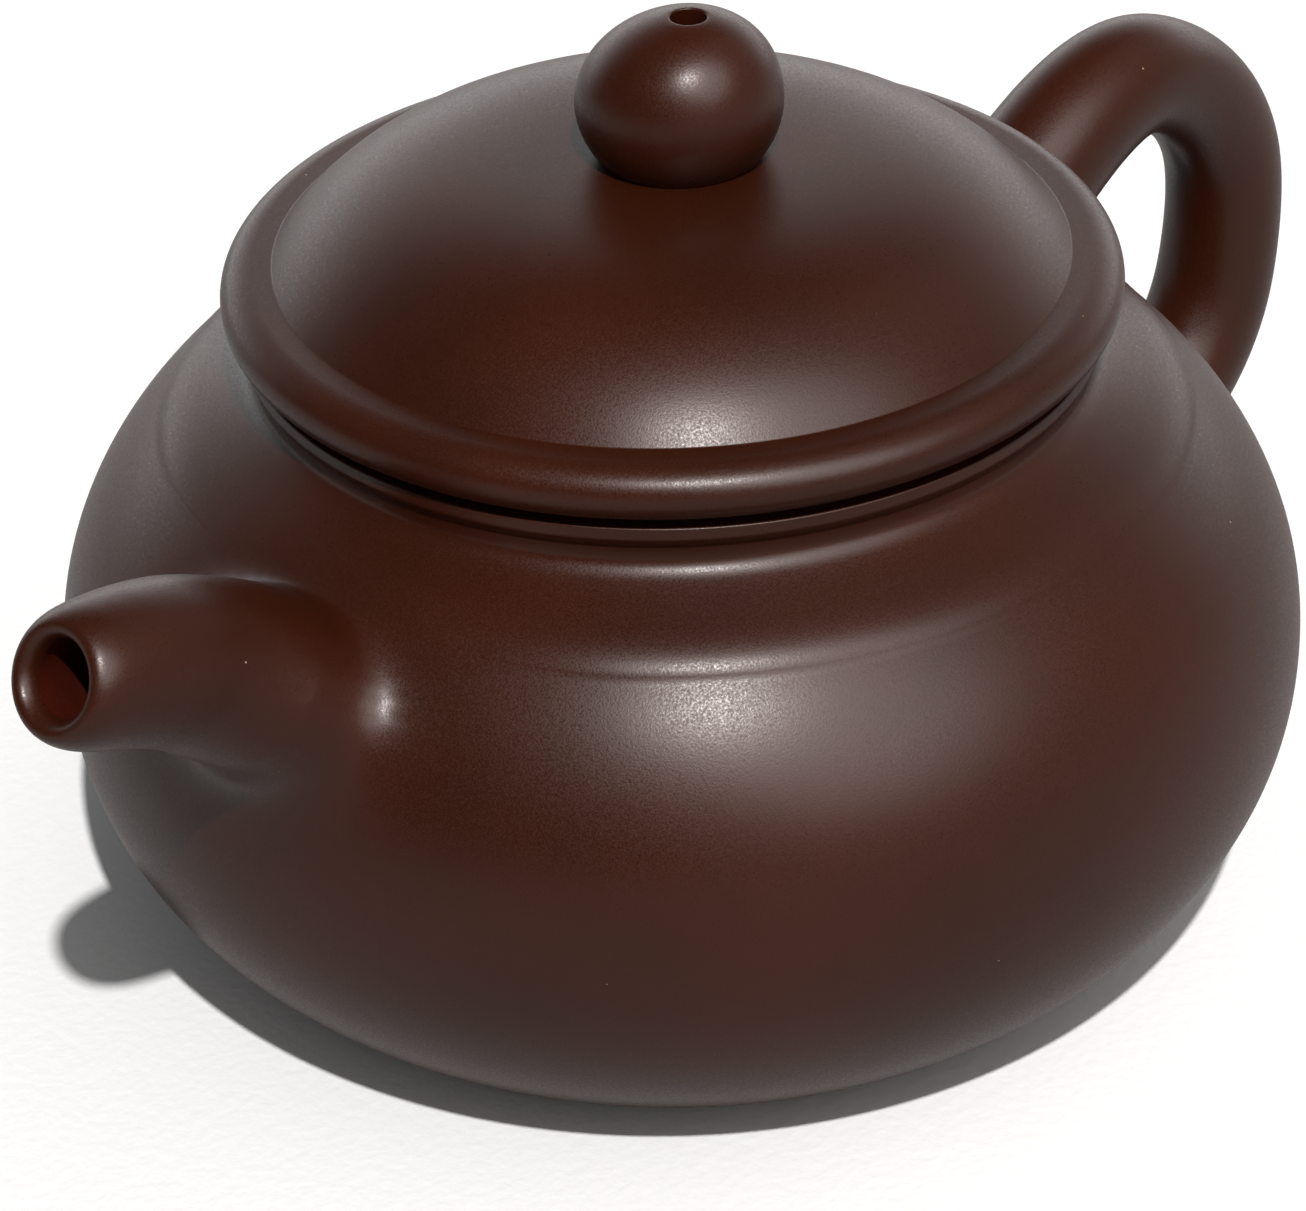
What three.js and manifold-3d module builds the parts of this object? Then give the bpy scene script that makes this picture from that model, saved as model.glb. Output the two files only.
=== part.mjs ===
// A small unglazed clay teapot: a flattened round body with a ridge at its shoulder, a short curved spout,
// an ear-shaped handle, and a lid that lies on the mouth with a half-round rim and a ball knob.
// Millimetres, +Z up. The origin is on the pot's axis at the plane it stands on.
// The spout points along -X and the handle along +X.
import * as THREE from "three";
import { mergeVertices } from "three/addons/utils/BufferGeometryUtils.js";
import Module from "manifold-3d";

const wasm = await Module();
wasm.setup();

// Body: a superellipse above and below the widest circle
const BELLY_R = 50;
const EQUATOR_Z = 24.3;
const BELLY_UP = 33.1;
const BELLY_UP_POWER = 2.07;
const BELLY_DOWN = 31.4;
const BELLY_DOWN_POWER = 2.15;
const WALL = 2.8;

// Base disc
const BASE_THICK = 3.4;
const BASE_EDGE = 0.9;

// Shoulder disc, from the ridge in to the neck
const RIDGE_Z = 43.9;
const RIDGE_STEP = 0.15;
const RIDGE_BEAD = 0.35;
const SHOULDER_TOP_Z = 49;
const SHOULDER_TURN = 1.6;
const SHOULDER_DROP = 1.6;

// Neck and the half-round line round the mouth, as thicknesses out from the mouth
const MOUTH_R = 29.8;
const NECK_WALL = 3.3;
const NECK_HOLLOW = 0.8;
const NECK_TOP_Z = 51.1;
const MOUTH_LINE_SWELL = 0.6;
const SEAT_Z = 52.4;
const NECK_FOOT_R = MOUTH_R + NECK_WALL + NECK_HOLLOW;

// Lid
const RIM_OVERHANG = 0.65;
const RIM_H = 5.2;
const RIM_SWELL = 2.5;
const RIM_STEP = 1.65;
const RIM_R = NECK_FOOT_R + MOUTH_LINE_SWELL + RIM_OVERHANG;
const DOME_R = RIM_R - RIM_SWELL - RIM_STEP;
const DOME_H = 8.3;
const DOME_POWER = 4.45;
const LID_WALL = 3;
const FLANGE_DEPTH = 7;
const FLANGE_WALL = 2.4;
const FLANGE_CLEARANCE = 0.4;

// Knob, set a little off the lid's axis as it was luted on by hand
const KNOB_R = 8.05;
const KNOB_HALF_H = 7.6;
const KNOB_FOOT_R = 6.5;
const KNOB_X = 0.6;
const KNOB_Y = -0.7;
const VENT_R = 1.4;
const VENT_EDGE = 0.45;

// Spout: its middle line in the XZ plane as distances out from the axis, with its radii
const SPOUT_LINE = [
  [37.3, 32.6],
  [46.3, 40.3],
  [51.0, 43.8],
  [54.7, 46.1],
  [58.1, 47.5],
  [61.7, 48.4],
  [65.2, 50.1],
];
const SPOUT_ROOT_R = 7.4;
const SPOUT_MOUTH_R = 4.9;
const SPOUT_BORE_ROOT_R = 5;
const SPOUT_BORE_MOUTH_R = 3.3;
const SPOUT_TAPER_POWER = 2.2;
const SPOUT_LIP = 0.8;
const SPOUT_FLARE = 6;
const SPOUT_FLARE_LENGTH = 18;

// Strainer: a pierced dome behind the spout's hole
const STRAINER_R = 8;
const STRAINER_WALL = 1.6;
const STRAINER_SINK = 3;
const STRAINER_HOLE_R = 1.1;
const STRAINER_RINGS = [
  { count: 1, tilt: 0 },
  { count: 6, tilt: 24 },
];

// Handle: its middle line in the XZ plane, with its radii from the upper root to the lower one
const HANDLE_LINE = [
  [35.0, 39.9],
  [41.2, 44.0],
  [50.4, 48.9],
  [57.6, 50.2],
  [63.8, 47.9],
  [69.0, 43.3],
  [72.0, 37.4],
  [72.4, 30.2],
  [70.6, 22.8],
  [65.8, 17.0],
  [58.0, 13.6],
  [46.6, 13.0],
  [38.0, 13.3],
];
const HANDLE_R = [6.0, 5.6, 5.1, 5.2, 5.3, 5.0, 4.9];
const HANDLE_FLARE = 3.5;
const HANDLE_FLARE_LENGTH = 13;

// Gap left where one piece is cut to another's surface
const SEAM = 0.3;

const TURNED_SIDES = 48;
const KNOB_SIDES = 28;
const TUBE_SIDES = 24;
const HOLE_SIDES = 12;
const CURVE_STEPS = 12;

const clay = (color) => new THREE.MeshStandardMaterial({ color, roughness: 0.42, metalness: 0 });

function superRadius(z, radius, half, power) {
  return radius * Math.pow(Math.max(0, 1 - Math.pow(Math.abs(z) / half, power)), 1 / power);
}

// Radius of the belly at a height, moved in by a wall or out by a seam when inset is negative
function bellyRadius(z, inset = 0) {
  const above = z >= EQUATOR_Z;
  const half = (above ? BELLY_UP : BELLY_DOWN) - inset;
  const power = above ? BELLY_UP_POWER : BELLY_DOWN_POWER;
  return superRadius(z - EQUATOR_Z, BELLY_R - inset, half, power);
}

function domeTop(r) {
  return SEAT_Z + RIM_H + DOME_H * (1 - Math.pow(Math.min(1, r / DOME_R), DOME_POWER));
}

function steps(from, to, count) {
  return Array.from({ length: count + 1 }, (_, i) => from + ((to - from) * i) / count);
}

// A closed or axis-to-axis outline turned about Z
function turned(outline, sides = TURNED_SIDES) {
  const points = outline.map(([r, z]) => new THREE.Vector2(r, z));
  return new THREE.LatheGeometry(points, sides).rotateX(Math.PI / 2);
}

function loop(outline) {
  return [...outline, outline[0]];
}

// A half-round side between two heights, listed upwards, that swells out from radius r
function halfRound(r, low, high, swell, count = 8) {
  return steps(-90, 90, count).map((degrees) => {
    const a = THREE.MathUtils.degToRad(degrees);
    return [r + swell * Math.cos(a), (low + high) / 2 + ((high - low) / 2) * Math.sin(a)];
  });
}

function solidOf(geometry) {
  const plain = geometry.clone();
  plain.deleteAttribute("normal");
  plain.deleteAttribute("uv");
  const merged = mergeVertices(plain, 1e-4);
  const vertProperties = Float32Array.from(merged.attributes.position.array);
  const triVerts = Uint32Array.from(merged.index.array);
  return new wasm.Manifold(new wasm.Mesh({ numProp: 3, vertProperties, triVerts }));
}

function geometryOf(solid) {
  const mesh = solid.getMesh();
  const geometry = new THREE.BufferGeometry();
  geometry.setAttribute("position", new THREE.BufferAttribute(Float32Array.from(mesh.vertProperties), 3));
  geometry.setIndex(new THREE.BufferAttribute(Uint32Array.from(mesh.triVerts), 1));
  return geometry;
}

// A middle line in the XZ plane that can be read past its ends along its end directions
function middleLine(points) {
  const curve = new THREE.CatmullRomCurve3(points.map(([x, z]) => new THREE.Vector3(x, 0, z)));
  const length = curve.getLength();
  function at(s) {
    const share = THREE.MathUtils.clamp(s / length, 0, 1);
    const tangent = curve.getTangentAt(share);
    const point = curve.getPointAt(share).addScaledVector(tangent, s - share * length);
    return { point, tangent };
  }
  return { length, at };
}

// An outline of radius against length turned into a tube and bent along a middle line
function bent(outline, line, sides = TUBE_SIDES) {
  const points = outline.map(([r, s]) => new THREE.Vector2(r, s));
  const geometry = new THREE.LatheGeometry(points, sides);
  const position = geometry.attributes.position;
  const across = new THREE.Vector3(0, 1, 0);
  for (let i = 0; i < position.count; i++) {
    const { point, tangent } = line.at(position.getY(i));
    const up = across.clone().cross(tangent);
    point.addScaledVector(across, position.getX(i)).addScaledVector(up, position.getZ(i));
    position.setXYZ(i, point.x, point.y, point.z);
  }
  return geometry;
}

// Smooth value along a list, at a share from 0 to 1
function along(values, share) {
  const curve = new THREE.SplineCurve(values.map((value, i) => new THREE.Vector2(i, value)));
  return curve.getPoint(THREE.MathUtils.clamp(share, 0, 1)).y;
}

// Extra radius near a root: full at the root and gone one flare length out
function flare(distance, size, length) {
  const left = Math.max(0, 1 - distance / length);
  return size * left * left;
}

// The outside of the shoulder, from the ridge in to the neck's foot, moved out by a seam
function shoulderSlope(out = 0) {
  const ridge = bellyRadius(RIDGE_Z) + RIDGE_STEP;
  const bead = [
    [ridge - RIDGE_BEAD, RIDGE_Z + RIDGE_BEAD],
    [ridge - 3 * RIDGE_BEAD, RIDGE_Z + 3 * RIDGE_BEAD],
  ];
  const slope = new THREE.QuadraticBezierCurve(
    new THREE.Vector2(...bead[1]),
    new THREE.Vector2(NECK_FOOT_R + SHOULDER_TURN, SHOULDER_TOP_Z - SHOULDER_DROP),
    new THREE.Vector2(NECK_FOOT_R, SHOULDER_TOP_Z),
  );
  const top = slope.getPoints(5).slice(1).map((p) => [p.x, p.y]);
  return [...bead, ...top].map(([r, z]) => [r + out, z + out]);
}

// The whole body as one solid outline, grown by the seam, which trims the spout and the handle
function bodyEnvelope() {
  const wall = steps(0, RIDGE_Z, 2 * CURVE_STEPS).map((z) => [bellyRadius(z, -SEAM), z]);
  const top = SHOULDER_TOP_Z + SEAM;
  return solidOf(turned([[0, 0], ...wall, ...shoulderSlope(SEAM), [0, top]]));
}

function cavity() {
  const wall = steps(BASE_THICK, RIDGE_Z, 16).map((z) => [bellyRadius(z, WALL + SEAM), z]);
  return solidOf(turned([[0, BASE_THICK], ...wall, [0, RIDGE_Z]]));
}

function baseDisc() {
  const edge = bellyRadius(0);
  return turned([
    [0, 0],
    [edge - BASE_EDGE, 0],
    [edge, BASE_EDGE / 2],
    [bellyRadius(BASE_THICK / 2), BASE_THICK / 2],
    [bellyRadius(BASE_THICK), BASE_THICK],
    [0, BASE_THICK],
  ]);
}

function bellyWall(spout) {
  const outside = steps(BASE_THICK, RIDGE_Z, CURVE_STEPS).map((z) => [bellyRadius(z), z]);
  const inside = steps(RIDGE_Z, BASE_THICK, CURVE_STEPS).map((z) => [bellyRadius(z, WALL), z]);
  const wall = solidOf(turned(loop([...outside, ...inside])));
  const drill = [
    [0, 0],
    [SPOUT_BORE_ROOT_R, 0],
    [SPOUT_BORE_ROOT_R, SPOUT_FLARE_LENGTH],
    [0, SPOUT_FLARE_LENGTH],
  ];
  return geometryOf(wall.subtract(solidOf(bent(drill, spout))));
}

function shoulderDisc() {
  const outside = [[bellyRadius(RIDGE_Z), RIDGE_Z], ...shoulderSlope()];
  const mouth = [[MOUTH_R, SHOULDER_TOP_Z], [MOUTH_R, SHOULDER_TOP_Z - WALL]];
  return turned(loop([...outside, ...mouth, [bellyRadius(RIDGE_Z, WALL), RIDGE_Z]]));
}

function neckRing() {
  const outside = halfRound(NECK_FOOT_R, SHOULDER_TOP_Z, NECK_TOP_Z, -NECK_HOLLOW, 6);
  return turned(loop([...outside, [MOUTH_R, NECK_TOP_Z], [MOUTH_R, SHOULDER_TOP_Z]]));
}

function mouthLine() {
  const outside = halfRound(NECK_FOOT_R, NECK_TOP_Z, SEAT_Z, MOUTH_LINE_SWELL, 6);
  return turned(loop([...outside, [MOUTH_R, SEAT_Z], [MOUTH_R, NECK_TOP_Z]]));
}

function spoutTube(line, envelope) {
  const end = line.length;
  const taper = (root, mouth, s) => root + (mouth - root) * Math.pow(s / end, SPOUT_TAPER_POWER);
  const radius = (s) => {
    return taper(SPOUT_ROOT_R, SPOUT_MOUTH_R, s) + flare(s, SPOUT_FLARE, SPOUT_FLARE_LENGTH);
  };
  const bore = (s) => taper(SPOUT_BORE_ROOT_R, SPOUT_BORE_MOUTH_R, s);
  const outside = steps(0, end - SPOUT_LIP, CURVE_STEPS + 2).map((s) => [radius(s), s]);
  const inside = steps(end - SPOUT_LIP, 0, CURVE_STEPS).map((s) => [bore(s), s]);
  const middle = (SPOUT_MOUTH_R + SPOUT_BORE_MOUTH_R) / 2;
  const half = (SPOUT_MOUTH_R - SPOUT_BORE_MOUTH_R) / 2;
  const lip = [30, 60, 90, 120, 150].map((degrees) => {
    const a = THREE.MathUtils.degToRad(degrees);
    return [middle + half * Math.cos(a), end - SPOUT_LIP + SPOUT_LIP * Math.sin(a)];
  });
  const tube = solidOf(bent(loop([...outside, ...lip, ...inside]), line));
  return geometryOf(tube.subtract(envelope));
}

// Where the spout's middle line meets the inside of the wall, and its direction there
function spoutSeat(line) {
  let s = 0;
  let seat = line.at(s);
  while (Math.abs(seat.point.x) < bellyRadius(seat.point.z, WALL)) {
    s += 0.1;
    seat = line.at(s);
  }
  return seat;
}

function strainer(line, inside) {
  const { point, tangent } = spoutSeat(line);
  const centre = point.clone().addScaledVector(tangent, STRAINER_SINK);
  const turn = new THREE.Quaternion().setFromUnitVectors(new THREE.Vector3(0, -1, 0), tangent);
  const place = (geometry) => solidOf(geometry.applyQuaternion(turn).translate(centre.x, centre.y, centre.z));
  const outer = place(new THREE.SphereGeometry(STRAINER_R, TUBE_SIDES, 16));
  const inner = place(new THREE.SphereGeometry(STRAINER_R - STRAINER_WALL, TUBE_SIDES, 16));
  let dome = outer.subtract(inner).intersect(inside);
  for (const { count, tilt } of STRAINER_RINGS) {
    for (let i = 0; i < count; i++) {
      const hole = new THREE.CylinderGeometry(STRAINER_HOLE_R, STRAINER_HOLE_R, STRAINER_R, HOLE_SIDES);
      hole.translate(0, STRAINER_R, 0).rotateZ(THREE.MathUtils.degToRad(tilt));
      hole.rotateY((2 * Math.PI * i) / count);
      dome = dome.subtract(place(hole));
    }
  }
  return geometryOf(dome);
}

function handleLoop(line, envelope) {
  const outside = steps(0, line.length, 30).map((s) => {
    const root = Math.min(s, line.length - s);
    return [along(HANDLE_R, s / line.length) + flare(root, HANDLE_FLARE, HANDLE_FLARE_LENGTH), s];
  });
  const tube = solidOf(bent([[0, 0], ...outside, [0, line.length]], line, 16));
  return geometryOf(tube.subtract(envelope));
}

function lidRim() {
  const top = SEAT_Z + RIM_H;
  const outside = halfRound(RIM_R - RIM_SWELL, SEAT_Z, top, RIM_SWELL, 10);
  const inner = MOUTH_R - FLANGE_CLEARANCE - FLANGE_WALL;
  return turned(loop([...outside, [DOME_R - LID_WALL, top], [inner, SEAT_Z]]));
}

function lidDome() {
  const low = SEAT_Z + RIM_H;
  const outside = steps(DOME_R, KNOB_FOOT_R + 1, CURVE_STEPS).map((r) => [r, domeTop(r)]);
  const inner = DOME_R - LID_WALL;
  const inside = steps(0, inner, 8).map((r) => {
    const share = r / inner;
    return [r, low + (DOME_H - LID_WALL) * (1 - Math.pow(share, DOME_POWER))];
  });
  const flat = outside.at(-1)[1];
  const shell = solidOf(turned([...inside.slice(0, -1), [inner, low], ...outside, [0, flat]]));
  const vent = new THREE.CylinderGeometry(VENT_R, VENT_R, 3 * LID_WALL, KNOB_SIDES);
  vent.rotateX(Math.PI / 2).translate(KNOB_X, KNOB_Y, flat);
  return geometryOf(shell.subtract(solidOf(vent)));
}

function lidFlange() {
  const outer = MOUTH_R - FLANGE_CLEARANCE;
  const inner = outer - FLANGE_WALL;
  const low = SEAT_Z - FLANGE_DEPTH;
  const taper = FLANGE_WALL / 4;
  return turned(
    loop([
      [outer - taper, low],
      [outer, low + 2 * taper],
      [outer, SEAT_Z],
      [inner, SEAT_Z],
      [inner + taper, low],
    ]),
  );
}

function knob() {
  const foot = domeTop(KNOB_FOOT_R + 1);
  const lift = KNOB_HALF_H * Math.sqrt(1 - Math.pow(KNOB_FOOT_R / KNOB_R, 2));
  const centre = foot + lift;
  const start = -Math.asin(lift / KNOB_HALF_H);
  const edge = VENT_R + VENT_EDGE;
  const end = Math.acos(edge / KNOB_R);
  const ball = steps(start, end, 16).map((a) => [KNOB_R * Math.cos(a), centre + KNOB_HALF_H * Math.sin(a)]);
  const throat = ball.at(-1)[1] - VENT_EDGE;
  return turned(loop([...ball, [VENT_R, throat], [VENT_R, foot]]), KNOB_SIDES);
}

const spoutLine = middleLine(SPOUT_LINE.map(([out, z]) => [-out, z]));
const handleLine = middleLine(HANDLE_LINE);
const envelope = bodyEnvelope();

const pot = new THREE.Group();
const lid = new THREE.Group();

function add(group, name, geometry, color) {
  const mesh = new THREE.Mesh(geometry, clay(color));
  mesh.name = name;
  group.add(mesh);
  return mesh;
}

add(pot, "base_disc", baseDisc(), 0x3a201a);
add(pot, "belly_wall", bellyWall(spoutLine), 0x40241c);
add(pot, "shoulder_disc", shoulderDisc(), 0x44271f);
add(pot, "neck_ring", neckRing(), 0x3a1f18);
add(pot, "mouth_line", mouthLine(), 0x44271f);
add(pot, "spout_tube", spoutTube(spoutLine, envelope), 0x40241c);
add(pot, "spout_strainer", strainer(spoutLine, cavity()), 0x5a2a1a);
add(pot, "handle_loop", handleLoop(handleLine, envelope), 0x40241c);
add(lid, "lid_rim", lidRim(), 0x44271f);
add(lid, "lid_dome", lidDome(), 0x40241c);
add(lid, "lid_flange", lidFlange(), 0x3a1f18);
add(lid, "lid_knob", knob(), 0x44271f).position.set(KNOB_X, KNOB_Y, 0);

const teapot = new THREE.Group();
teapot.add(pot, lid);

export default teapot;
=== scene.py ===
"""A small unglazed clay teapot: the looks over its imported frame.

Outlines are written in millimetres, as (radius, height) about the pot's axis, and turned into
metres where a mesh is made. The spout points along -X and the handle along +X.
"""
from math import cos, degrees, hypot, pi, radians, sin, sqrt

import bmesh
import bpy
import numpy as np
from mathutils import Matrix, Vector


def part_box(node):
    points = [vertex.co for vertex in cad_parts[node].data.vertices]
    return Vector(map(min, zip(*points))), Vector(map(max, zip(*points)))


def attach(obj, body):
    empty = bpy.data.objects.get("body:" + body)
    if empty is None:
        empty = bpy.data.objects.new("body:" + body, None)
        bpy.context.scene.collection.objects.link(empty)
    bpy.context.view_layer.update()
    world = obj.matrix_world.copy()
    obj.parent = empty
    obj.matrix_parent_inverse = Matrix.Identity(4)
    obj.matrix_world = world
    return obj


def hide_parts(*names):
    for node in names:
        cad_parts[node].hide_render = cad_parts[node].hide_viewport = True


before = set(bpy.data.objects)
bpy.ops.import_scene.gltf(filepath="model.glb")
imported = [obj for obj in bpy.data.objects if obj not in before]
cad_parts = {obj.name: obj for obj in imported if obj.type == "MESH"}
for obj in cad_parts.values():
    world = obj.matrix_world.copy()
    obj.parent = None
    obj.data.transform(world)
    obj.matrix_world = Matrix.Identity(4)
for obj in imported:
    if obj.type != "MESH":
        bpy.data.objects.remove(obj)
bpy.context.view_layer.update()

MM = 0.001


def node_box(name):
    """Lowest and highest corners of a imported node, in millimetres."""
    low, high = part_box(name)
    return low / MM, high / MM


# Sizes from the frame
WALL_LOW, WALL_HIGH = node_box("belly_wall")
LINE_HIGH = node_box("mouth_line")[1]
RIM_HIGH = node_box("lid_rim")[1]
DOME_HIGH = node_box("lid_dome")[1]
FLANGE_LOW, FLANGE_HIGH = node_box("lid_flange")
KNOB_LOW, KNOB_HIGH = node_box("lid_knob")

# Body
BELLY_R = WALL_HIGH.x
EQUATOR_Z = 24.3
BELLY_UP = 33.1
BELLY_UP_POWER = 2.07
BELLY_DOWN = 31.4
BELLY_DOWN_POWER = 2.15
WALL = 2.8
FLOOR_Z = WALL_LOW.z
BASE_EDGE = 1.3
BASE_FLAT_R = 20
FLOOR_FLAT_R = 24
FLOOR_CORNER = 6
INSIDE_LOW = FLOOR_Z + 4

# Ridge, shoulder and neck: radius, height and slope in degrees, from the belly up to the mouth's
# line. PLAIN stands for RIDGE near the spout, and the ridge grows over the angles of RIDGE_FADE.
CREASE_Z = 43.57
INSIDE_HIGH = CREASE_Z - 2
RIDGE = [(40.83, 44.15, 56), (40.45, 44.62, 47), (38.85, 45.85, 30)]
PLAIN = [(40.45, 44.4, 41), (38.85, 45.7, 32)]
SHOULDER = [
    (36.8, 46.87, 25.5), (34.25, 48.17, 31), (33.45, 48.85, 50), (33.15, 49.55, 88),
    (33.2, 50.4, 98),
]
LINE = [(33.55, 50.95, 118), (33.8, 51.5, 95), (33.78, 52.0, 89)]
SEAT_Z = LINE_HIGH.z
MOUTH_R = 29.8
MOUTH_LOW_Z = 46.2
RIDGE_FADE = (16, 36)

# Lid
RIM_R = RIM_HIGH.x + 0.1
RIM_SWELL = 2.6
RIM_TOP_Z = RIM_HIGH.z
RIM_LOW_Z = SEAT_Z + 0.6
DOME_EDGE_R = DOME_HIGH.x
DOME_TOP_Z = DOME_HIGH.z
DOME_DROP = 7.05
DOME_DROP_R = 30
DOME_POWER = 4.45
LID_WALL = 3.0
CEILING_POWER = 6
FLANGE_R = FLANGE_HIGH.x
FLANGE_WALL = 2.4
VENT_R = 1.4
VENT_EDGE = 0.45

# Knob
KNOB_R = (KNOB_HIGH.x - KNOB_LOW.x) / 2
KNOB_HALF_H = 7.25
KNOB_FOOT_R = 6.0
KNOB_SINK = 0.25
KNOB_LEAN = (0.15, -0.85)
KNOB_AT = ((KNOB_HIGH.x + KNOB_LOW.x) / 2, (KNOB_HIGH.y + KNOB_LOW.y) / 2)

# Spout and handle: middle lines in the XZ plane, as distance out from the axis and height
SPOUT_LINE = [
    (37.3, 32.6), (46.3, 40.3), (51.0, 43.8), (54.7, 46.1), (58.1, 47.5), (61.8, 48.6),
    (65.28, 49.78),
]
SPOUT_ROOT_R = 7.4
SPOUT_MOUTH_R = 5.1
SPOUT_BORE_ROOT_R = 5.0
SPOUT_BORE_MOUTH_R = 2.9
SPOUT_TAPER_POWER = 2.0
SPOUT_FLARE = 0.34
SPOUT_BEAD_R = 3.85
SPOUT_LIP = 4.2
SPOUT_LIP_POWER = 1.3
SPOUT_CUT = 0.13
SPOUT_INNER_LIP = 1.5
SPOUT_BORE_START = 6.0
SPOUT_DRILL = (-2, 15)
HANDLE_LINE = [
    (35.0, 39.9), (41.2, 44.0), (50.4, 48.9), (57.6, 50.2), (63.8, 47.9), (69.0, 43.3),
    (72.0, 37.4), (72.4, 30.2), (70.6, 22.8), (65.8, 17.0), (58.0, 13.6), (46.6, 13.0),
    (38.0, 13.3),
]
HANDLE_R = [6.0, 5.6, 5.1, 5.17, 5.25, 5.0, 4.9]
DIRECTION_STEP = 0.2

# Blends at the roots. Each spread is for the spout's top or the handle's inside, for the flanks,
# and for the spout's underside or the handle's outside.
SPOUT_SPREAD = (2.6, 5.5, 6.0)
HANDLE_UPPER_SPREAD = (5.0, 4.5, 1.5)
HANDLE_LOWER_SPREAD = (4.5, 5.0, 6.0)
SPREAD_POWER = 1.5
ROOT_DEPTH = 3.5
ROOT_SINK = 0.02
ROOT_LENGTH = 25
ROOT_ROWS = 30
FLARE_START = 8.0
FLARE_END = 22.0
SPINE_POINTS = 81
RAY_TILTS = np.radians(np.linspace(-50, 80, 87))
RAY_STEPS = 32
RAY_REACH = 45
RAY_JUMP = 3
RAY_MISS = 0.05

TURNED_SIDES = 288
KNOB_SIDES = 128
TUBE_SIDES = 96
TURN = np.linspace(0, 2 * pi, TUBE_SIDES, endpoint=False)
ACROSS = np.array([0.0, 1.0, 0.0])


# Outlines

def super_radius(z, inset=0.0):
    """Radius of the belly at a height, moved in by a wall."""
    up = z >= EQUATOR_Z
    half = (BELLY_UP if up else BELLY_DOWN) - inset
    power = BELLY_UP_POWER if up else BELLY_DOWN_POWER
    share = min(1.0, abs(z - EQUATOR_Z) / half)
    return (BELLY_R - inset) * (1 - share**power) ** (1 / power)


def dome_height(r):
    """Height of the dome's outside at a radius."""
    return DOME_TOP_Z - DOME_DROP * (r / DOME_DROP_R) ** DOME_POWER


def through(knots, count=10):
    """A smooth outline through (radius, height, slope) knots, run inward and upward."""
    result = []
    for (r0, z0, a0), (r1, z1, a1) in zip(knots, knots[1:]):
        chord = hypot(r1 - r0, z1 - z0)
        t0 = (-cos(radians(a0)) * chord, sin(radians(a0)) * chord)
        t1 = (-cos(radians(a1)) * chord, sin(radians(a1)) * chord)
        for t in steps(0, 1, count)[:-1]:
            h = (2 * t**3 - 3 * t**2 + 1, t**3 - 2 * t**2 + t, 3 * t**2 - 2 * t**3, t**3 - t**2)
            result.append((h[0] * r0 + h[1] * t0[0] + h[2] * r1 + h[3] * t1[0],
                           h[0] * z0 + h[1] * t0[1] + h[2] * z1 + h[3] * t1[1]))
    result.append(knots[-1][:2])
    return result


def steps(low, high, count):
    """Even steps from one value to another, with both ends."""
    return [low + (high - low) * i / count for i in range(count + 1)]


def arc(r, z, across, up, start, end, count):
    """Part of an ellipse about (r, z), between two angles in degrees."""
    angles = [radians(a) for a in steps(start, end, count)]
    return [(r + across * cos(a), z + up * sin(a)) for a in angles]


def rounded(points, count=8):
    """A polyline of (r, z, radius) whose corners are rounded to their radii."""
    result = [points[0][:2]]
    for before, here, after in zip(points, points[1:], points[2:]):
        corner = Vector(here[:2])
        back = Vector(before[:2]) - corner
        ahead = Vector(after[:2]) - corner
        if here[2] <= 0:
            result.append(tuple(corner))
            continue
        half = back.angle(ahead) / 2
        reach = min(here[2] / max(0.01, np.tan(half)), back.length * 0.49, ahead.length * 0.49)
        a = corner + back.normalized() * reach
        b = corner + ahead.normalized() * reach
        for t in steps(0, 1, count):
            result.append(tuple(a * (1 - t) ** 2 + corner * 2 * t * (1 - t) + b * t * t))
    result.append(points[-1][:2])
    return result


def smooth_line(points, count):
    """A Catmull-Rom line through points of two numbers each."""
    p = np.array(points, float)
    p = np.vstack([2 * p[0] - p[1], p, 2 * p[-1] - p[-2]])
    result = []
    for i in range(1, len(p) - 2):
        for t in steps(0, 1, count)[:-1]:
            a, b, c, d = p[i - 1], p[i], p[i + 1], p[i + 2]
            result.append(0.5 * (2 * b + (c - a) * t + (2 * a - 5 * b + 4 * c - d) * t**2
                                 + (3 * b - a - 3 * c + d) * t**3))
    result.append(p[-2])
    return np.array(result)


def belly_outline():
    """Outside of the pot from its base edge up to the crease under the ridge."""
    edge = super_radius(BASE_EDGE)
    base_r = super_radius(0)
    foot = rounded([(base_r - 3, 0, 0), (base_r - 0.4, 0, BASE_EDGE), (edge, BASE_EDGE, 0)], 8)
    wall = [(super_radius(z), z) for z in steps(BASE_EDGE, CREASE_Z, 90)]
    return foot[:-1] + wall


def shoulder_outline(ridge):
    """From the belly over the ridge, in along the shoulder, up the neck and round the mouth's line.

    ridge goes from 1, a full ridge, to 0, where it is smoothed away beside the spout."""
    low, high = super_radius(CREASE_Z - 0.05), super_radius(CREASE_Z + 0.05)
    start = (super_radius(CREASE_Z), CREASE_Z, degrees(np.arctan2(0.1, low - high)))
    full = through([start] + RIDGE + SHOULDER + LINE, 12)
    plain = through([start, PLAIN[0]] + PLAIN + SHOULDER + LINE, 12)
    return [
        (r * ridge + plain_r * (1 - ridge), z * ridge + plain_z * (1 - ridge))
        for (r, z), (plain_r, plain_z) in zip(full, plain)
    ]


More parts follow.
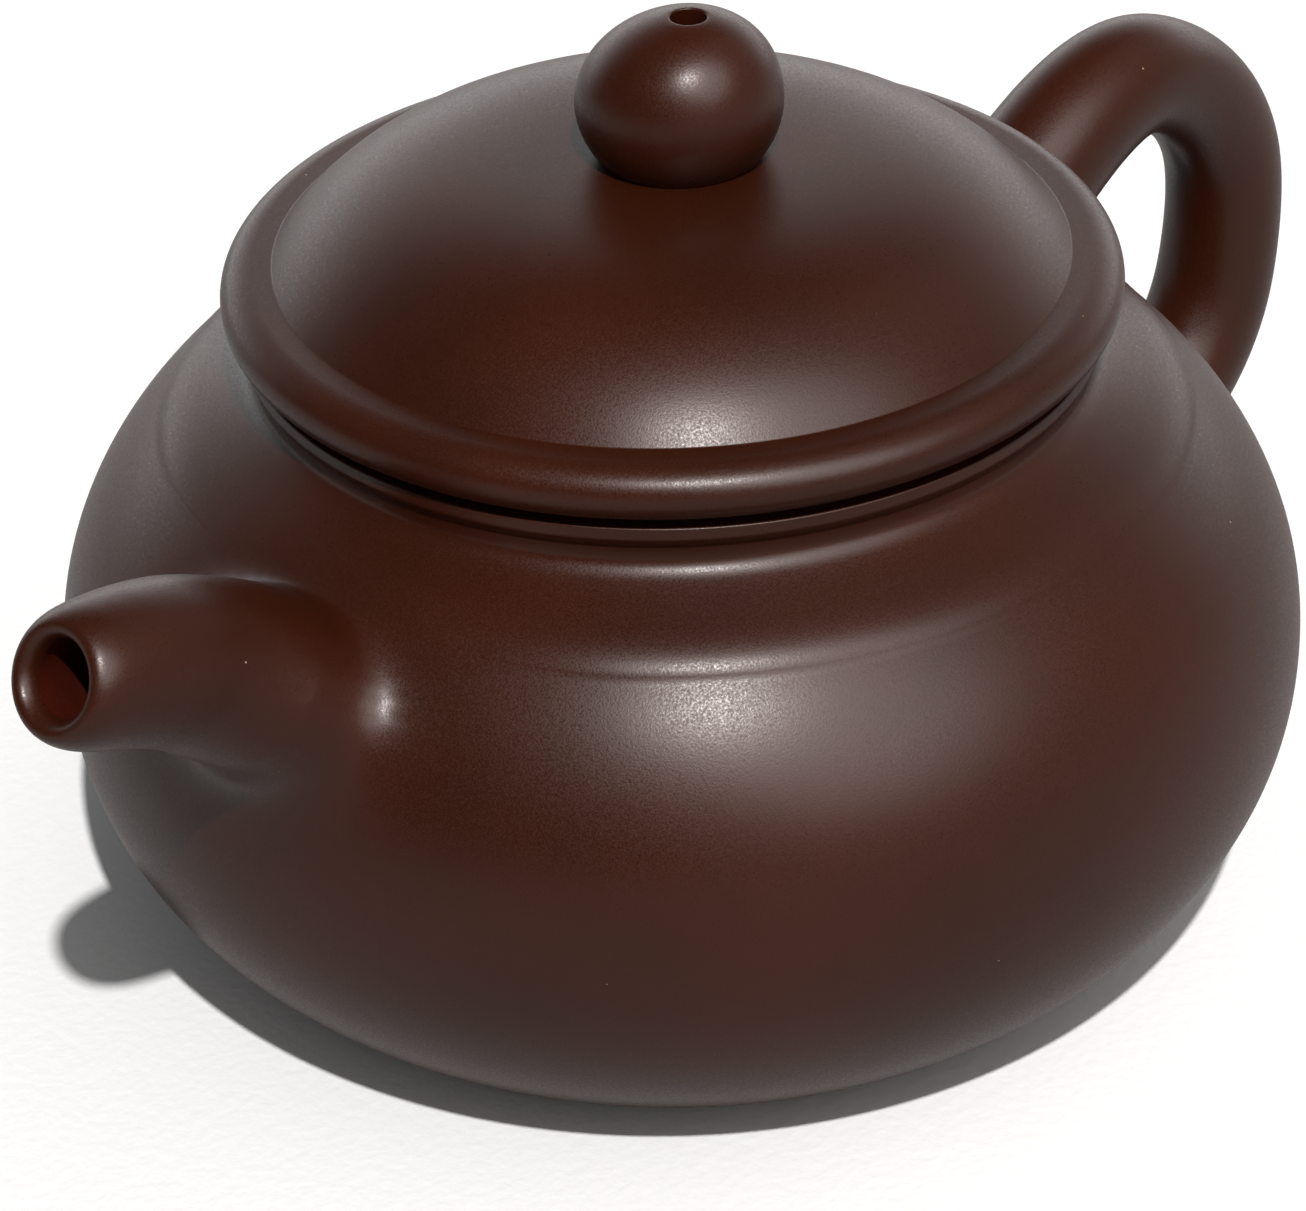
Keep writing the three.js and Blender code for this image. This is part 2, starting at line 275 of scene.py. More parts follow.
def pot_outline(ridge):
    """The whole pot but its spout and handle, as one closed outline from axis to axis."""
    outside = belly_outline() + shoulder_outline(ridge)
    mouth = rounded([
        outside[-1] + (0,),
        (LINE[-1][0], SEAT_Z, 0.3),
        (MOUTH_R, SEAT_Z, 0.4),
        (MOUTH_R, MOUTH_LOW_Z, 0.8),
        (super_radius(CREASE_Z, WALL), CREASE_Z + 0.5, 2.0),
        (super_radius(INSIDE_HIGH, WALL), INSIDE_HIGH, 0),
    ], 8)
    inside = [(super_radius(z, WALL), z) for z in steps(INSIDE_HIGH, INSIDE_LOW, 50)]
    corner = rounded([
        inside[-1] + (0,),
        (super_radius(FLOOR_Z + 1, WALL), FLOOR_Z, FLOOR_CORNER),
        (FLOOR_FLAT_R, FLOOR_Z, 0),
    ], 10)
    base, floor = [(0, 0), (BASE_FLAT_R, 0)], [(0, FLOOR_Z)]
    return base + outside[:-1] + mouth + inside[1:-1] + corner + floor


def ridge_share(azimuth):
    """How much of the ridge stands at an angle, in degrees, from the spout."""
    t = min(1.0, max(0.0, (abs(azimuth) - RIDGE_FADE[0]) / (RIDGE_FADE[1] - RIDGE_FADE[0])))
    return t * t * (3 - 2 * t)


def lid_outline():
    """The lid but its knob, as one closed outline from axis to axis."""
    dome = [(r, dome_height(r)) for r in steps(0, DOME_EDGE_R - 0.1, 60)]
    rim_centre = RIM_R - RIM_SWELL
    rim_z = (RIM_TOP_Z + RIM_LOW_Z) / 2
    half = (RIM_TOP_Z - RIM_LOW_Z) / 2
    cove = rounded([
        dome[-2] + (0,),
        (DOME_EDGE_R + 0.12, dome_height(DOME_EDGE_R + 0.12), 0.25),
        (rim_centre, RIM_TOP_Z, 0),
    ], 10)
    rim = arc(rim_centre, rim_z, RIM_SWELL, half, 86, -84, 44)
    inner = FLANGE_R - FLANGE_WALL
    under = rounded([
        rim[-1] + (0,),
        (rim_centre - 0.5, RIM_LOW_Z, 0.3),
        (rim_centre - 0.6, SEAT_Z, 0.15),
        (FLANGE_R, SEAT_Z, 0.25),
        (FLANGE_R, FLANGE_LOW.z + 0.8, 0.8),
        (FLANGE_R - 0.7, FLANGE_LOW.z, 0.5),
        (inner + 0.7, FLANGE_LOW.z, 0.5),
        (inner, FLANGE_LOW.z + 0.8, 0.8),
        (inner, RIM_TOP_Z - 1.5, 3.0),
        (inner - 2.5, dome_height(inner) - LID_WALL - 1.2, 0),
    ], 8)
    hollow_r = inner - 2.5
    drop = dome_height(hollow_r) - under[-1][1] - LID_WALL
    ceiling = [
        (r, dome_height(r) - LID_WALL - drop * (r / hollow_r) ** CEILING_POWER)
        for r in steps(hollow_r, 0, 30)
    ]
    return dome[:-2] + cove + rim + under[1:-1] + ceiling


def knob_outline():
    """The ball with its vent, down into the dome that it stands on."""
    foot = dome_height(KNOB_FOOT_R) - KNOB_SINK
    lift = KNOB_HALF_H * sqrt(1 - (KNOB_FOOT_R / KNOB_R) ** 2)
    start = -degrees(np.arcsin(lift / KNOB_HALF_H))
    end = degrees(np.arccos((VENT_R + VENT_EDGE) / KNOB_R))
    ball = arc(0, foot + lift, KNOB_R, KNOB_HALF_H, start, end, 60)
    top = ball[-1][1]
    sunk = [(KNOB_FOOT_R - 0.3, foot - 0.2)]
    vent = rounded([ball[-1] + (0,), (VENT_R, top + 0.05, VENT_EDGE), (VENT_R, foot - 0.3, 0)], 6)
    return sunk + ball + vent[1:] + sunk


# Meshes

def linked_object(name, points, faces):
    """A smooth mesh from points in millimetres. Equal points are joined, faces turned outward."""
    mesh = bpy.data.meshes.new(name)
    mesh.from_pydata([tuple(MM * c for c in p) for p in points], [], faces)
    work = bmesh.new()
    work.from_mesh(mesh)
    bmesh.ops.remove_doubles(work, verts=work.verts, dist=1e-7)
    bmesh.ops.recalc_face_normals(work, faces=work.faces)
    work.to_mesh(mesh)
    work.free()
    mesh.shade_smooth()
    linked = bpy.data.objects.new(name, mesh)
    bpy.context.scene.collection.objects.link(linked)
    return linked


def mesh_piece(name, points, faces, node_body, slot_name, *nodes):
    """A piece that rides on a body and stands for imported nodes."""
    piece = linked_object(name, points, faces)
    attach(piece, node_body)
    if nodes:
        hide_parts(*nodes)
    return piece


def grid_faces(rows, columns):
    """Quads over a grid of points whose rows close on themselves."""
    faces = []
    for a in range(0, (rows - 1) * columns, columns):
        b = a + columns
        for j in range(columns):
            beside = (j + 1) % columns
            faces.append((a + j, b + j, b + beside, a + beside))
    return faces


def turned(outline, sides, at=(0, 0)):
    """Points and faces of an outline turned about an upright axis."""
    points = [
        (at[0] + r * cos(2 * pi * j / sides), at[1] + r * sin(2 * pi * j / sides), z)
        for r, z in outline for j in range(sides)
    ]
    return points, grid_faces(len(outline), sides)


class MiddleLine:
    """A smooth line in the XZ plane, read by distance along it and past its ends."""

    def __init__(self, points, side, flare=0.0):
        self.flare = flare
        self.points = smooth_line([(side * x, z) for x, z in points], 24)
        self.s = np.r_[0, np.cumsum(np.hypot(*np.diff(self.points, axis=0).T))]
        self.length = self.s[-1]

    def at(self, s):
        """Centre and direction at a distance, as points of three numbers."""
        inner = np.clip(s, 0, self.length)
        ends = np.clip([inner - DIRECTION_STEP, inner + DIRECTION_STEP], 0, self.length)
        a, b, centre = (
            [np.interp(d, self.s, self.points[:, k]) for k in (0, 1)] for d in (*ends, inner)
        )
        direction = np.array([b[0] - a[0], 0, b[1] - a[1]])
        direction /= np.linalg.norm(direction)
        return np.array([centre[0], 0, centre[1]]) + direction * (s - inner), direction

    def wide(self, s):
        """How much wider than high the tube is at a distance."""
        share = np.clip((FLARE_END - s) / (FLARE_END - FLARE_START), 0, 1)
        return 1 + self.flare * share**2 * (3 - 2 * share)

    def ring(self, s, radius, turn=TURN, wide=1.0):
        """Points round the line at a distance."""
        centre, direction = self.at(s)
        up = np.cross(direction, ACROSS)
        out = wide * np.cos(turn)[:, None] * ACROSS + np.sin(turn)[:, None] * up
        return centre + radius * out

    def row(self, distances, radius, turn):
        """A row of points, each at its own distance and angle."""
        return np.array([
            self.ring(s, radius(s), turn[j:j + 1], self.wide(s))[0] for j, s in enumerate(distances)
        ])


class PotSurface:
    """The pot's outside, which spout and handle are blended into."""

    def __init__(self, outline):
        points = np.array(outline, float)
        links = np.diff(points, axis=0)
        keep = np.linalg.norm(links, axis=1) > 1e-6
        self.start, self.link = points[:-1][keep], links[keep]
        outward = np.stack([self.link[:, 1], -self.link[:, 0]], 1)
        self.normal = outward / np.linalg.norm(self.link, axis=1)[:, None]

    def nearest(self, points):
        """Nearest surface points, their outward directions and the signed distances to them."""
        flat = np.stack([np.hypot(points[:, 0], points[:, 1]), points[:, 2]], 1)
        off = flat[:, None] - self.start[None]
        t = np.clip((off * self.link).sum(2) / (self.link**2).sum(1), 0, 1)
        gap = off - t[..., None] * self.link
        best = (gap**2).sum(2).argmin(1)
        pick = np.arange(len(flat))
        foot = self.start[best] + t[pick, best][:, None] * self.link[best]
        normal = self.normal[best]
        signed = ((flat - foot) * normal).sum(1)
        spin = points[:, :2] / flat[:, :1]
        place = np.column_stack([spin * foot[:, :1], foot[:, 1]])
        return place, np.column_stack([spin * normal[:, :1], normal[:, 1]]), signed


def blended_root(surface, line, radius, sign, spread):
    """Rings that flow from the pot's outside up onto a tube.

    sign is 1 where the tube's line starts in the pot and -1 where it ends there. The rings lie
    where a smooth minimum of the distances to the pot and to the tube is zero. spread is how near
    both have to be for the blend to swell, for each column. Every point is found along a ray from
    one place that lies in the pot and in the tube, so that no two rings can cross.

    Given back are the rings, where each column ends along the tube, and how far its last point lies
    from the tube's own column, as an angle and as a step."""
    along = np.linspace(0, line.length, SPINE_POINTS)
    spine = np.array([line.at(s)[0] for s in along])
    girth = np.array([radius(s) for s in along])
    links = np.diff(spine, axis=0)
    narrow = np.array([[1, 1 / line.wide(s), 1] for s in along[:-1]])

    def tube_gap(points):
        """Distances to the tube and how far along its middle line they are taken."""
        off = (points[:, None] - spine[None, :-1]) * narrow
        t = np.clip((off * links).sum(2) / (links**2).sum(1), 0, 1)
        gap = np.linalg.norm(off - t[..., None] * links, axis=2)
        gap = gap - girth[:-1] * (1 - t) - girth[1:] * t
        best = gap.argmin(1)
        pick = np.arange(len(points))
        return gap[pick, best], along[best] + t[pick, best] * along[1]

    def exits(directions):
        """Where rays from the inner place leave the blend, and the distances to pot and tube."""
        reach = np.zeros(len(directions))
        for _ in range(RAY_STEPS):
            points = inner + directions * reach[:, None]
            a, (b, s) = surface.nearest(points)[2], tube_gap(points)
            h = np.clip(1 - np.abs(a - b) / spread, 0, 1)
            reach = np.minimum(reach + (h**3 * spread / 6 - np.minimum(a, b)), RAY_REACH)
        return points, a, b, s

    depth = surface.nearest(spine)[2]
    outside = np.flatnonzero(depth > -ROOT_DEPTH)
    inner_s = along[outside[0] - 1 if sign > 0 else outside[-1] + 1]
    inner, forward = line.at(inner_s)
    forward = forward * sign
    across = line.ring(inner_s, 1.0) - inner
    fan = [exits(across * cos(t) + forward * sin(t)) for t in RAY_TILTS]
    places, a, b, s = (np.array(part) for part in zip(*fan))
    jumps = np.linalg.norm(np.diff(places, axis=0, append=places[-1:]), axis=2) > RAY_JUMP
    on_pot = (np.abs(a) < RAY_MISS) & (b > spread)
    on_tube = (np.abs(b) < RAY_MISS) & (np.abs(s - inner_s) < ROOT_LENGTH) & ((a > spread) | jumps)
    rows = np.zeros((ROOT_ROWS, TUBE_SIDES, 3))
    for j in range(TUBE_SIDES):
        last = np.flatnonzero(on_tube[:, j])[0]
        first = np.flatnonzero(on_pot[:last, j])[-1]
        track = places[first:last + 1, j]
        gone = np.r_[0, np.cumsum(np.linalg.norm(np.diff(track, axis=0), axis=1))]
        for k in range(3):
            rows[:, j, k] = np.interp(np.linspace(0, gone[-1], ROOT_ROWS), gone, track[:, k])
    foot, normal, _ = surface.nearest(rows[0])
    rows[0] = foot - normal * ROOT_SINK
    ends = tube_gap(rows[-1])[1]
    turn = np.zeros(TUBE_SIDES)
    for j, s in enumerate(ends):
        centre, direction = line.at(s)
        out = rows[-1, j] - centre
        turn[j] = np.arctan2(out @ np.cross(direction, ACROSS), out @ ACROSS / line.wide(s))
    slip = (turn - TURN + pi) % (2 * pi) - pi
    step = rows[-1] - line.row(ends, radius, TURN + slip)
    return list(rows), ends, slip, step


def column_shares(one, flank, other):
    """A size for each column of a tube, from one side in its plane smoothly to the other."""
    toward_one = np.clip(-np.sin(TURN), 0, 1) ** SPREAD_POWER
    toward_other = np.clip(np.sin(TURN), 0, 1) ** SPREAD_POWER
    return flank + (one - flank) * toward_one + (other - flank) * toward_other


def pot_piece(spout_line):
    """The pot but its spout and handle, with the hole that the spout's bore opens into."""
    full, plain = np.array(pot_outline(1)), np.array(pot_outline(0))
    azimuths = np.linspace(0, 360, TURNED_SIDES, endpoint=False)
    shares = np.array([ridge_share(a - 180) for a in azimuths])
    profile = full[:, None] * shares[:, None] + plain[:, None] * (1 - shares[:, None])
    turn = np.radians(azimuths)
    r, z = profile[..., 0], profile[..., 1]
    points = np.stack([r * np.cos(turn), r * np.sin(turn), z], -1).reshape(-1, 3)
    pot = mesh_piece(
        "pot_body", points, grid_faces(len(full), TURNED_SIDES), "pot", "burnished_clay",
        "base_disc", "belly_wall", "shoulder_disc", "neck_ring", "mouth_line")
    rings = [spout_line.ring(s, SPOUT_BORE_ROOT_R) for s in steps(*SPOUT_DRILL, 8)]
    cut(pot, closed_tube("spout_drill", rings))
    return pot


def closed_tube(name, rings):
    """A plain tube with closed ends, used only to cut."""
    points = [tuple(p) for ring in rings for p in ring]
    faces = grid_faces(len(rings), TUBE_SIDES)
    last = (len(rings) - 1) * TUBE_SIDES
    faces += [tuple(range(TUBE_SIDES)), tuple(range(last, last + TUBE_SIDES))]
    return linked_object(name, points, faces)


def cut(piece, tool):
    """Takes a closed shape out of a piece for good."""
    modifier = piece.modifiers.new("cut", "BOOLEAN")
    modifier.operation = "DIFFERENCE"
    modifier.solver = "EXACT"
    modifier.object = tool
    bpy.context.view_layer.update()
    evaluated = piece.evaluated_get(bpy.context.evaluated_depsgraph_get())
    mesh = bpy.data.meshes.new_from_object(evaluated)
    piece.modifiers.clear()
    piece.data = mesh
    mesh.shade_smooth()
    bpy.data.objects.remove(tool)


def taper(root, mouth, share):
    """A radius that shrinks slowly at first along the spout."""
    return root + (mouth - root) * share**SPOUT_TAPER_POWER


def spout_piece(surface, line):
    """The spout from its blended root over its lip, and its bore from there down.

    What the blend leaves of slip and step fades over the first half. The mouth's tilt comes in over
    the second."""
    def radius(s):
        return taper(SPOUT_ROOT_R, SPOUT_MOUTH_R, min(1, max(0, s / line.length)))

    rows, start, slip, step = blended_root(surface, line, radius, 1, column_shares(*SPOUT_SPREAD))
    end = line.length - SPOUT_LIP
    tilt = SPOUT_CUT * np.sin(TURN)
    for t in steps(0, 1, 40)[1:]:
        fade, lean = max(0, 1 - 2 * t) ** 2, max(0, 2 * t - 1) ** 2
        distances = start * (1 - t) + end * t + tilt * radius(end) * lean
        rows.append(line.row(distances, radius, TURN + slip * fade) + step * fade)
    drop = SPOUT_MOUTH_R - SPOUT_BEAD_R
    for angle in np.radians(steps(0, 90, 20)[1:]):
        s = end + SPOUT_LIP * sin(angle)
        lost = drop * (1 - cos(angle)) ** SPOUT_LIP_POWER
        rows.append(line.row(s + tilt * (radius(s) - lost), lambda d: radius(d) - lost, TURN))
    inner_end = line.length - SPOUT_INNER_LIP
    bead = SPOUT_BEAD_R - SPOUT_BORE_MOUTH_R
    for r, s in arc(SPOUT_BEAD_R, inner_end, -bead, SPOUT_INNER_LIP, 90, 0, 12)[1:]:
        rows.append(line.row(s + tilt * r, lambda _: r, TURN))
    outer_rows = len(rows)
    for t in steps(0, 1, 30)[1:]:
        s = inner_end * (1 - t) + SPOUT_BORE_START * t
        rows.append(line.ring(s, taper(SPOUT_BORE_ROOT_R, SPOUT_BORE_MOUTH_R, s / line.length)))
    outside, inside = rows[:outer_rows], rows[outer_rows - 1:]
    spout = mesh_piece(
        "spout", np.concatenate(outside), grid_faces(len(outside), TUBE_SIDES), "pot",
        "burnished_clay", "spout_tube")
    bore = mesh_piece(
        "spout_bore", np.concatenate(inside), grid_faces(len(inside), TUBE_SIDES), "pot",
        "bare_clay")
    return spout, bore


def handle_piece(surface, line):
    """The handle from root to root. Slip and step fade over a quarter at each end."""
    values = smooth_line([(i, r) for i, r in enumerate(HANDLE_R)], 16)

    def radius(s):
        share = min(1, max(0, s / line.length))
        return float(np.interp(share * (len(HANDLE_R) - 1), values[:, 0], values[:, 1]))

    rows, start, slip, step = blended_root(
        surface, line, radius, 1, column_shares(*HANDLE_UPPER_SPREAD))
    lower, end, lower_slip, lower_step = blended_root(
        surface, line, radius, -1, column_shares(*HANDLE_LOWER_SPREAD))
    for t in steps(0, 1, 120)[1:-1]:
        fade, rise = max(0, 1 - 4 * t) ** 2, max(0, 4 * t - 3) ** 2
        row = line.row(start * (1 - t) + end * t, radius, TURN + slip * fade + lower_slip * rise)
        rows.append(row + step * fade + lower_step * rise)
    rows += lower[::-1]
    points, faces = np.concatenate(rows), grid_faces(len(rows), TUBE_SIDES)
    return mesh_piece("handle", points, faces, "pot", "burnished_clay", "handle_loop")


def lid_pieces():
    """The lid with its vent, and the knob that leans a little towards its top."""
    points, faces = turned(lid_outline(), TURNED_SIDES)
    lid = mesh_piece(
        "lid", points, faces, "lid", "burnished_clay", "lid_dome", "lid_rim", "lid_flange")
    vent_x, vent_y = KNOB_AT[0] + VENT_R * np.cos(TURN), KNOB_AT[1] + VENT_R * np.sin(TURN)
    rings = [
        np.column_stack([vent_x, vent_y, np.full(TUBE_SIDES, z)])
        for z in (DOME_TOP_Z - 2 * LID_WALL, DOME_TOP_Z + LID_WALL)
    ]
    cut(lid, closed_tube("vent_drill", rings))
    points, faces = turned(knob_outline(), KNOB_SIDES, KNOB_AT)
    middle = DOME_TOP_Z + KNOB_HALF_H / 2
    points = [
        (x + KNOB_LEAN[0] * lean, y + KNOB_LEAN[1] * lean, z)
        for x, y, z in points for lean in [max(0, (z - middle) / KNOB_HALF_H) ** 2]
    ]
    knob = mesh_piece("knob", points, faces, "lid", "burnished_clay", "lid_knob")
    return lid, knob


# Materials

DRIFT_SCALE = 45.0
SPECK_SCALE = 420.0
SPECK_CHOSEN = 0.91
SPECK_REACH = 0.035
FINE_SCALE = 6000.0
BROAD_SCALE = 3300.0
BROAD_SHARE = 0.7
ROUGHNESS_DRIFT = 0.1


class Nodes:
    """The node tree of a material or world, with short ways to add and join nodes."""

    def __init__(self, owner):
        owner.use_nodes = True
        self.tree = owner.node_tree
        self.tree.nodes.clear()

    def add(self, kind, inputs=None, **settings):
        """A node whose inputs are values, or sockets to be joined to them."""
        node = self.tree.nodes.new(kind)
        for key, value in settings.items():
            setattr(node, key, value)
        for key, value in (inputs or {}).items():
            if isinstance(value, bpy.types.NodeSocket):
                self.tree.links.new(value, node.inputs[key])
            else:
                node.inputs[key].default_value = value
        return node

    def math(self, operation, *values, **settings):
        """A number worked out from one, two or three others."""
        inputs = dict(enumerate(values))
        return self.add("ShaderNodeMath", inputs, operation=operation, **settings).outputs["Value"]

    def noise(self, place, scale, detail, roughness=0.5):
        """Smooth noise from 0 to 1."""
        return self.add("ShaderNodeTexNoise", {
            "Vector": place,
            "Scale": scale,
            "Detail": detail,
            "Roughness": roughness,
        }).outputs["Fac"]

    def ramp(self, value, stops):
        """A colour picked from stops by a value from 0 to 1."""
        node = self.add("ShaderNodeValToRGB", {0: value})
        elements = node.color_ramp.elements
        while len(elements) < len(stops):
            elements.new(0.5)
        for element, (position, colour) in zip(elements, stops):
            element.position = position
            element.color = colour
        return node.outputs["Color"]


def linear(red, green, blue):
    """A colour as it is seen, from 0 to 255, in the linear numbers that a shader takes."""
    def one(c):
        c /= 255
        return c / 12.92 if c <= 0.04045 else ((c + 0.055) / 1.055) ** 2.4
    return (one(red), one(green), one(blue), 1.0)


def clay(name, dark, light, speck, roughness, specular, grain):
    """Unglazed clay: slow colour drift, a fine grain, rare pale specks and a satin burnish."""
    material = bpy.data.materials.new(name)
    n = Nodes(material)
    place = n.add("ShaderNodeTexCoord").outputs["Object"]
    drift = n.noise(place, scale=DRIFT_SCALE, detail=4.0, roughness=0.55)
    colour = n.ramp(drift, [(0.3, dark), (0.7, light)])
    spots = n.add("ShaderNodeTexVoronoi", {
        "Vector": place,
        "Scale": SPECK_SCALE,
        "Randomness": 1.0,
    })
    chosen = n.add("ShaderNodeSeparateColor", {"Color": spots.outputs["Color"]}).outputs["Red"]
    rare = n.math("GREATER_THAN", chosen, SPECK_CHOSEN)
    small = n.math("LESS_THAN", spots.outputs["Distance"], SPECK_REACH)
    fleck = n.math("MULTIPLY", rare, small)
    mixed = n.add("ShaderNodeMix", {"Factor": fleck, "A": colour, "B": speck}, data_type="RGBA")
    fine = n.noise(place, scale=FINE_SCALE, detail=2.0, roughness=0.6)
    broad = n.noise(place, scale=BROAD_SCALE, detail=3.0, roughness=0.65)
    rough = n.add("ShaderNodeMapRange", {
        "Value": fine,
        "From Min": 0.3,
        "From Max": 0.7,
        "To Min": roughness - ROUGHNESS_DRIFT,
        "To Max": roughness + ROUGHNESS_DRIFT,
    })
    height = n.math("MULTIPLY_ADD", broad, BROAD_SHARE, fine)
    bump = n.add("ShaderNodeBump", {"Height": height, "Strength": 1.0, "Distance": grain})
    shader = n.add("ShaderNodeBsdfPrincipled", {
        "Base Color": mixed.outputs["Result"],
        "Roughness": rough.outputs["Result"],
        "Normal": bump.outputs["Normal"],
        "IOR": 1.5,
        "Specular IOR Level": specular,
    })
    n.add("ShaderNodeOutputMaterial", {"Surface": shader.outputs["BSDF"]})
    return material


def dress(piece, material):
    """Gives a piece one material and no other."""
    piece.data.materials.clear()
    piece.data.materials.append(material)


# Studio

CAMERA_AZIMUTH = -47.0
CAMERA_DISTANCE = 344.3
CAMERA_HEIGHT = 241.0
CAMERA_YAW = -0.38
CAMERA_PITCH = 32.14
CAMERA_ROLL = 1.80
LENS = 137.8
KEY_LIGHT = {"azimuth": CAMERA_AZIMUTH + 7.3, "elevation": 53.5, "angle": 1.6, "strength": 3.05}
SIDE_LIGHT = {"azimuth": CAMERA_AZIMUTH + 62, "elevation": 28, "angle": 120.0, "strength": 0.8}
KEY_COLOUR = (1.0, 0.94, 0.915)
SIDE_COLOUR = (1.0, 0.85, 0.78)

# What the pot mirrors: how far a direction has to be faced for each glow to begin and to be full
SIDE_WINDOW = {"azimuth": CAMERA_AZIMUTH + 36, "elevation": 42}
SIDE_WINDOW_FACING = (0.86, 0.97)
SIDE_GLOW_AROUND = 0.04
SIDE_GLOW = 4.2
BACK_FACING = (0.35, 0.85)
BACK_TOP_FACING = (0.75, 0.05)
BACK_GLOW = 2.0

# Soft light from all round, and the paper, in metres, as the camera sees it and as the pot does
AMBIENT_FACING = (-0.8, 0.9)
AMBIENT_LEFT = 0.14
AMBIENT_RIGHT = 0.22
FLOOR_HALF = 2.5
FLOOR_DROP = 0.00002
PAPER = (1.0, 1.05, 1.07, 1)
PAPER_BOUNCE = (0.42, 0.42, 0.42, 1)
PAPER_SHEEN = 0.18
WEAVE_SCALE = 900.0
WEAVE_DEPTH = 0.0002


def heading(azimuth, elevation=0.0):
    """Direction from the pot towards a viewer at an azimuth and elevation."""
    turn, rise = radians(azimuth), radians(elevation)
    return Vector((sin(turn) * cos(rise), -cos(turn) * cos(rise), sin(rise)))


def add_camera():
    """The photograph's viewing angle: a place, then a turn by yaw, pitch and roll."""
    data = bpy.data.cameras.new("camera")
    data.lens = LENS
    data.sensor_width = 36
    data.clip_start = 0.01
    camera = bpy.data.objects.new("camera", data)
    toward = heading(CAMERA_AZIMUTH)
    position = MM * (toward * CAMERA_DISTANCE + Vector((0, 0, CAMERA_HEIGHT)))
    ahead = -toward
    right = Vector((ahead.y, -ahead.x, 0))
    yaw, pitch, roll = radians(CAMERA_YAW), radians(CAMERA_PITCH), radians(CAMERA_ROLL)
    level = ahead * cos(yaw) + right * sin(yaw)
    right = right * cos(yaw) - ahead * sin(yaw)
    forward = level * cos(pitch) - Vector((0, 0, sin(pitch)))
    down = forward.cross(right)
    right, down = right * cos(roll) + down * sin(roll), down * cos(roll) - right * sin(roll)
    turn = Matrix((right, -down, -forward)).transposed().to_4x4()
    camera.matrix_world = Matrix.Translation(position) @ turn
    bpy.context.scene.collection.objects.link(camera)
    bpy.context.scene.camera = camera


def add_sun(name, colour, azimuth, elevation, angle, strength):
    """A far light. Its angle is how wide it looks from the pot, in degrees."""
    data = bpy.data.lights.new(name, "SUN")
    data.energy = strength
    data.color = colour
    data.angle = radians(angle)
    sun = bpy.data.objects.new(name, data)
    sun.rotation_euler = heading(azimuth, elevation).to_track_quat("Z", "Y").to_euler()
    bpy.context.scene.collection.objects.link(sun)


def add_world():
    """A white backdrop for the camera.

    The pot itself gets soft light, more from its right, and mirrors a bright band that stands low
    behind it and a window at its side."""
    world = bpy.data.worlds.new("world")
    bpy.context.scene.world = world
    n = Nodes(world)

    def facing(direction, edges, dim, full):
        """A value that changes smoothly with how far a direction is faced."""
        dot = n.add("ShaderNodeVectorMath", {0: place, 1: direction}, operation="DOT_PRODUCT")
        return n.add("ShaderNodeMapRange", {
            "Value": dot.outputs["Value"],
            "From Min": edges[0],
            "From Max": edges[1],
            "To Min": dim,
            "To Max": full,
        }, interpolation_type="SMOOTHSTEP").outputs["Result"]

    def background(strength):
        """White light of a strength."""
        white = {"Color": (1, 1, 1, 1), "Strength": strength}
        return n.add("ShaderNodeBackground", white).outputs["Background"]

    def either(chosen, no, yes):
        """One light for rays that aren't of the chosen kind, and another for those that are."""
        return n.add("ShaderNodeMixShader", {0: path.outputs[chosen], 1: no, 2: yes}).outputs[0]

    path = n.add("ShaderNodeLightPath")
    place = n.add("ShaderNodeTexCoord").outputs["Generated"]
    soft = facing(heading(CAMERA_AZIMUTH + 90), AMBIENT_FACING, AMBIENT_LEFT, AMBIENT_RIGHT)
    back = facing(-heading(CAMERA_AZIMUTH), BACK_FACING, 0.0, BACK_GLOW)
    low = facing(Vector((0, 0, 1)), BACK_TOP_FACING, 0.0, 1.0)
    side = facing(heading(**SIDE_WINDOW), SIDE_WINDOW_FACING, SIDE_GLOW_AROUND, SIDE_GLOW)
    glow = n.math("MULTIPLY_ADD", back, low, side)
    lit = either("Is Glossy Ray", background(soft), background(glow))
    seen = either("Is Camera Ray", lit, background(1.0))
    n.add("ShaderNodeOutputWorld", {"Surface": seen})


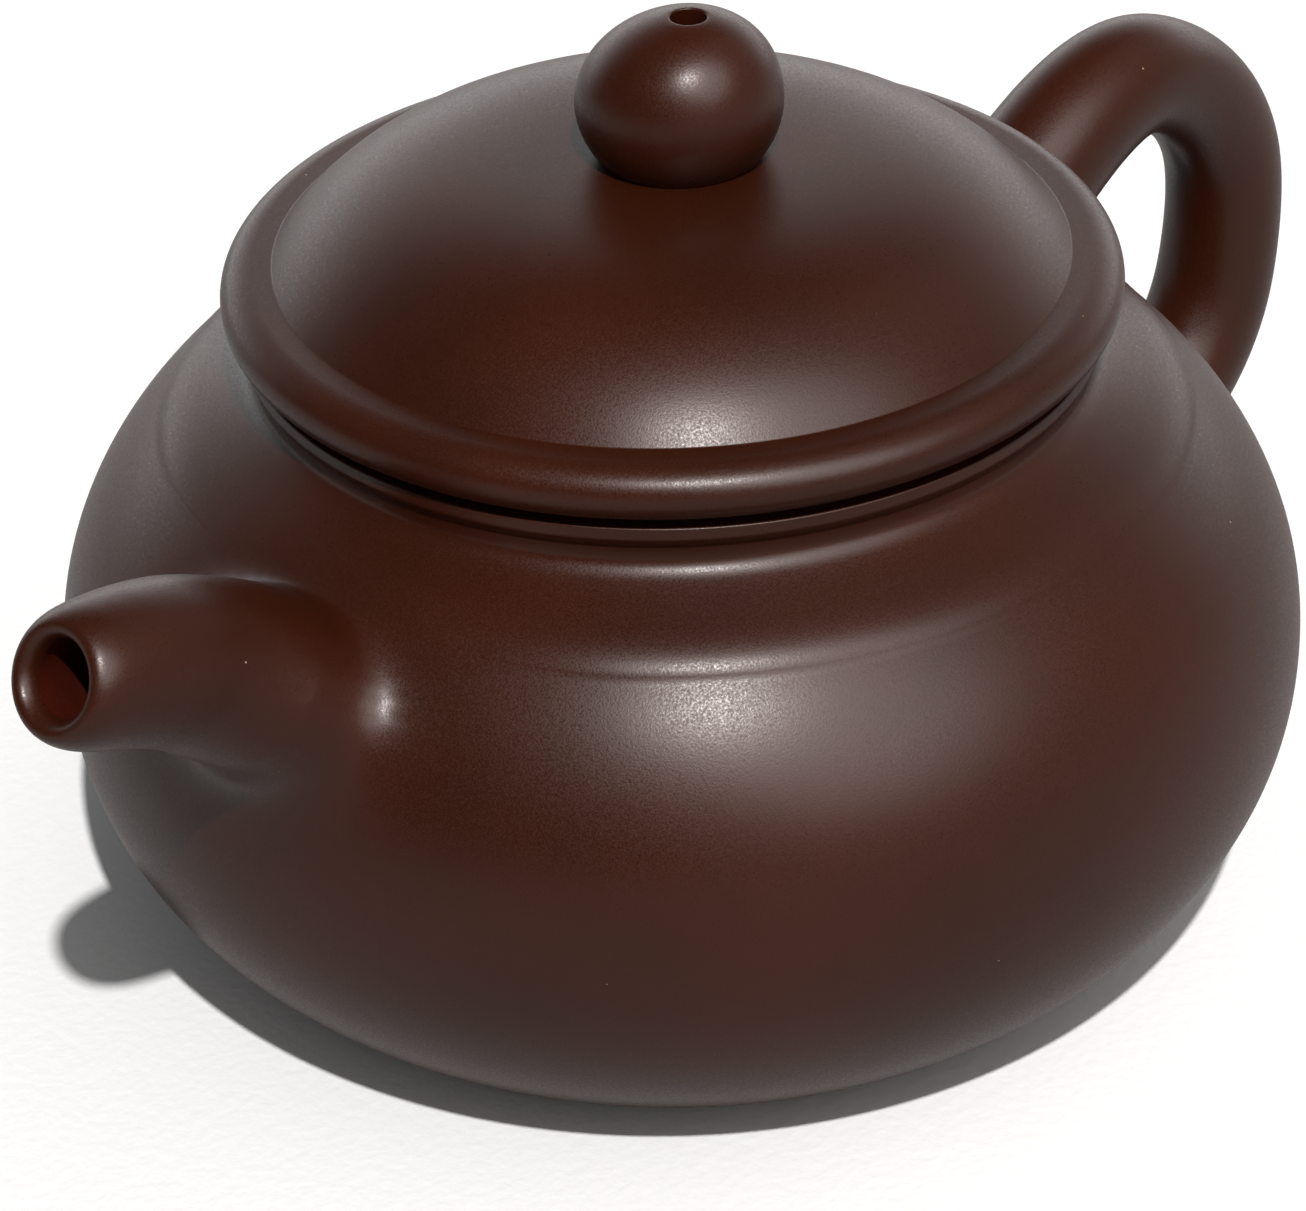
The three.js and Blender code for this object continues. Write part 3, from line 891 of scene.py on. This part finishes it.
def add_floor():
    """White paper with a faint weave, which the pot is lit by and mirrors as a greyer sheet."""
    material = bpy.data.materials.new("floor_paper")
    n = Nodes(material)
    place = n.add("ShaderNodeTexCoord").outputs["Object"]
    weave = n.noise(place, scale=WEAVE_SCALE, detail=3.0)
    bump = n.add("ShaderNodeBump", {"Height": weave, "Strength": 0.4, "Distance": WEAVE_DEPTH})
    path = n.add("ShaderNodeLightPath").outputs
    seen = n.math(
        "MULTIPLY_ADD", path["Is Glossy Ray"], PAPER_SHEEN, path["Is Camera Ray"], use_clamp=True)
    colour = n.add(
        "ShaderNodeMix", {"Factor": seen, "A": PAPER_BOUNCE, "B": PAPER}, data_type="RGBA")
    paper = n.add("ShaderNodeBsdfDiffuse", {
        "Color": colour.outputs["Result"],
        "Normal": bump.outputs["Normal"],
    })
    n.add("ShaderNodeOutputMaterial", {"Surface": paper.outputs["BSDF"]})
    corners = [(x * FLOOR_HALF, y * FLOOR_HALF, 0) for x, y in [(-1, -1), (1, -1), (1, 1), (-1, 1)]]
    mesh = bpy.data.meshes.new("floor")
    mesh.from_pydata(corners, [], [(0, 1, 2, 3)])
    mesh.materials.append(material)
    floor = bpy.data.objects.new("floor", mesh)
    floor.location.z = -FLOOR_DROP
    bpy.context.scene.collection.objects.link(floor)


# The part

burnished = clay(
    "burnished_clay", dark=linear(43, 16, 4), light=linear(55, 21, 7), speck=linear(170, 145, 115),
    roughness=0.36, specular=0.35, grain=0.0000085)
bare = clay(
    "bare_clay", dark=linear(44, 11, 4), light=linear(84, 25, 9), speck=linear(150, 120, 90),
    roughness=0.6, specular=0.15, grain=0.00004)

spout_middle = MiddleLine(SPOUT_LINE, -1, SPOUT_FLARE)
handle_middle = MiddleLine(HANDLE_LINE, 1)
spout_side = PotSurface(belly_outline() + shoulder_outline(0))
handle_side = PotSurface(belly_outline() + shoulder_outline(1))

dress(pot_piece(spout_middle), burnished)
spout, spout_bore = spout_piece(spout_side, spout_middle)
dress(spout, burnished)
dress(spout_bore, bare)
dress(handle_piece(handle_side, handle_middle), burnished)
for piece in lid_pieces():
    dress(piece, burnished)
dress(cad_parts["spout_strainer"], bare)

add_floor()
add_sun("key_light", KEY_COLOUR, **KEY_LIGHT)
add_sun("side_light", SIDE_COLOUR, **SIDE_LIGHT)
add_world()
add_camera()
bpy.context.scene.view_settings.view_transform = "Standard"
